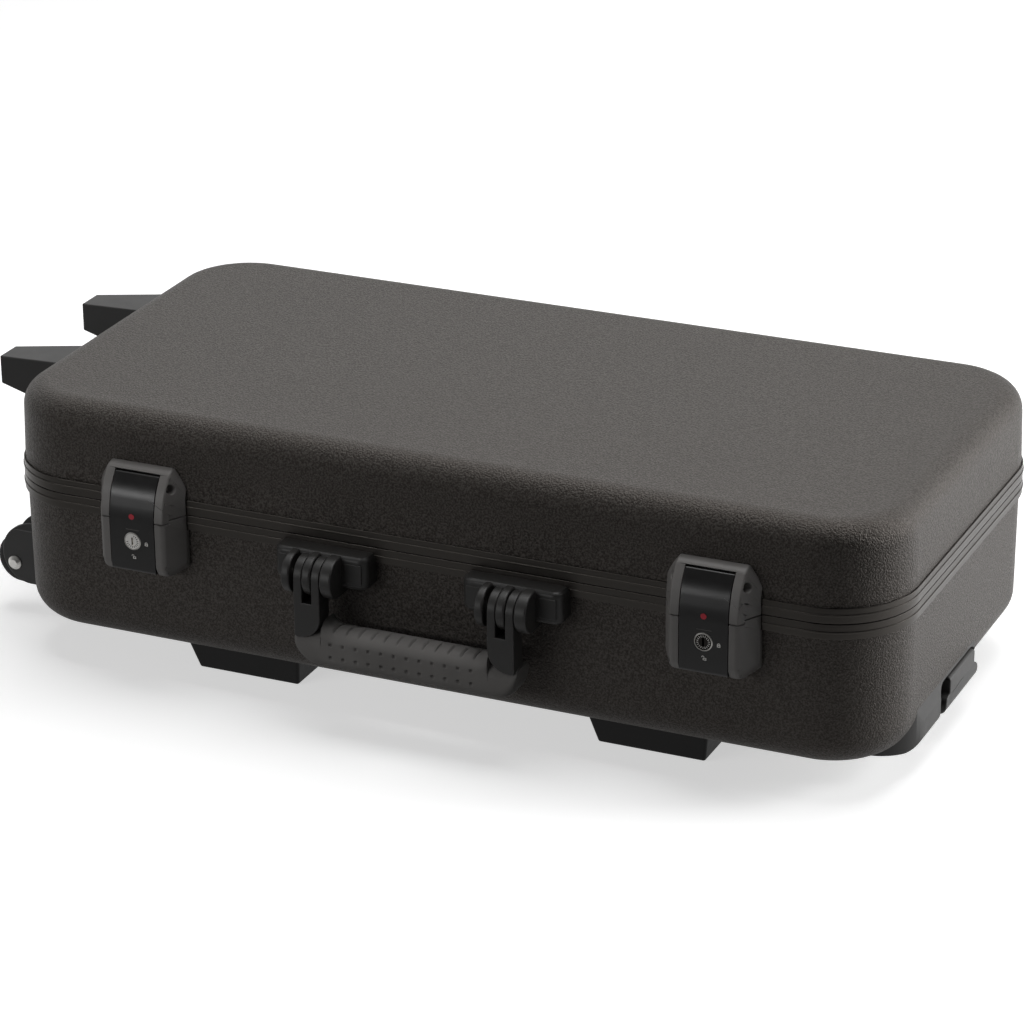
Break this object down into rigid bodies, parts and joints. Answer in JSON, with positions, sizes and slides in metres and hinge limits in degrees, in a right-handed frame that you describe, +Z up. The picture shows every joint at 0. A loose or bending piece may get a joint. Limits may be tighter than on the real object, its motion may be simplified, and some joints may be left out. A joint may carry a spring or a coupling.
{
  "type": "hard trolley case",
  "caption": "Rectangular moulded hard case with rim extrusions, drawbolt latches with key locks, a swinging carry handle, runner feet, end wheels, stand feet and a telescopic tow handle.",
  "frame": {"origin": "on the floor plane under the runner feet, below the middle of the closed case's bounding box", "axes": "+X along the case towards the tow handle's end, -Y towards the latches and the carry handle, +Z up through the lid"},
  "size_m": [0.6464, 0.34, 0.1815],
  "materials": {
    "shell": "moulded, fine pebble grain",
    "valance": "dark anodised extrusion",
    "lining": "foam under a soft cloth",
    "latch": "satin moulding",
    "hasp": "semi-gloss moulding",
    "lock": "plated",
    "pin": "plain steel",
    "rivet": "plated rivet",
    "bracket": "satin moulding",
    "cap": "satin moulding",
    "handle": "satin moulding",
    "grip": "soft moulding",
    "hinge": "black coated plate",
    "fitting": "smooth moulding",
    "tyre": "solid tyre",
    "hub": "moulding",
    "tow_housing": "satin moulding",
    "tow_grip": "satin moulding",
    "tow_release": "moulding",
    "tube": "drawn tube"
  },
  "bodies": {
    "base": {"base_shell": "shell", "base_valance": "valance", "base_lining": "lining", "runner_foot_left": "fitting", "runner_foot_right": "fitting", "latch_keeper_left": "latch", "latch_keeper_right": "latch", "handle_bracket_left": "bracket", "handle_bracket_right": "bracket", "bracket_caps": "cap", "handle_pins": "pin", "hinge_leaf_base_left": "hinge", "hinge_leaf_base_right": "hinge", "hinge_pins": "pin", "wheel_carrier_front": "fitting", "wheel_carrier_back": "fitting", "wheel_axle_front": "rivet", "wheel_axle_back": "rivet", "tow_housing": "tow_housing", "tow_outer_tube_front": "tube", "tow_outer_tube_back": "tube", "tow_tube_anchor": "fitting"},
    "lid": {"lid_shell": "shell", "lid_valance": "valance", "lid_lining": "lining", "latch_frame_left": "latch", "latch_frame_right": "latch", "hasp_pin_left": "pin", "hasp_pin_right": "pin", "hinge_leaf_lid_left": "hinge", "hinge_leaf_lid_right": "hinge", "stand_foot_front": "fitting", "stand_foot_back": "fitting"},
    "hasp_left": {"hasp_left": "hasp", "lock_bezel_left": "lock"},
    "lock_left": {"lock_plug_left": "lock"},
    "hasp_right": {"hasp_right": "hasp", "lock_bezel_right": "lock"},
    "lock_right": {"lock_plug_right": "lock"},
    "carry_handle": {"handle_frame": "handle", "grip_cover": "grip"},
    "wheel_front": {"wheel_tyre_front": "tyre", "wheel_hub_front": "hub"},
    "wheel_back": {"wheel_tyre_back": "tyre", "wheel_hub_back": "hub"},
    "tow_handle": {"tow_grip": "tow_grip", "tow_inner_tube_front": "tube", "tow_inner_tube_back": "tube"},
    "tow_release": {"tow_release": "tow_release"}
  },
  "joints": [
    {"name": "lid_hinge", "type": "hinge", "parent": "base", "child": "lid", "pos_m": [0.0218, 0.16585, 0.1205], "axis": [-1, 0, 0], "range_deg": [0, 105]},
    {"name": "hasp_pivot_left", "type": "hinge", "parent": "lid", "child": "hasp_left", "pos_m": [-0.1697, -0.14855, 0.1395], "axis": [-1, 0, 0], "range_deg": [0, 100]},
    {"name": "lock_turn_left", "type": "hinge", "parent": "hasp_left", "child": "lock_left", "pos_m": [-0.1697, -0.15805, 0.1045], "axis": [0, -1, 0], "range_deg": [0, 90]},
    {"name": "hasp_pivot_right", "type": "hinge", "parent": "lid", "child": "hasp_right", "pos_m": [0.2133, -0.14855, 0.1395], "axis": [-1, 0, 0], "range_deg": [0, 100]},
    {"name": "lock_turn_right", "type": "hinge", "parent": "hasp_right", "child": "lock_right", "pos_m": [0.2133, -0.15805, 0.1045], "axis": [0, -1, 0], "range_deg": [0, 90]},
    {"name": "carry_handle_swing", "type": "hinge", "parent": "base", "child": "carry_handle", "pos_m": [0.0218, -0.15705, 0.1035], "axis": [-1, 0, 0], "range_deg": [-8, 100]},
    {"name": "wheel_spin_front", "type": "hinge", "parent": "base", "child": "wheel_front", "pos_m": [-0.3062, -0.06505, 0.0345], "axis": [0, 1, 0], "continuous": true},
    {"name": "wheel_spin_back", "type": "hinge", "parent": "base", "child": "wheel_back", "pos_m": [-0.3062, 0.08495, 0.0345], "axis": [0, 1, 0], "continuous": true},
    {"name": "tow_slide", "type": "slide", "parent": "base", "child": "tow_handle", "axis": [1, 0, 0], "range_m": [0, 0.4]},
    {"name": "tow_release_press", "type": "slide", "parent": "tow_handle", "child": "tow_release", "axis": [1, 0, 0], "range_m": [0, 0.003], "stiffness_N_per_m": 300}
  ]
}
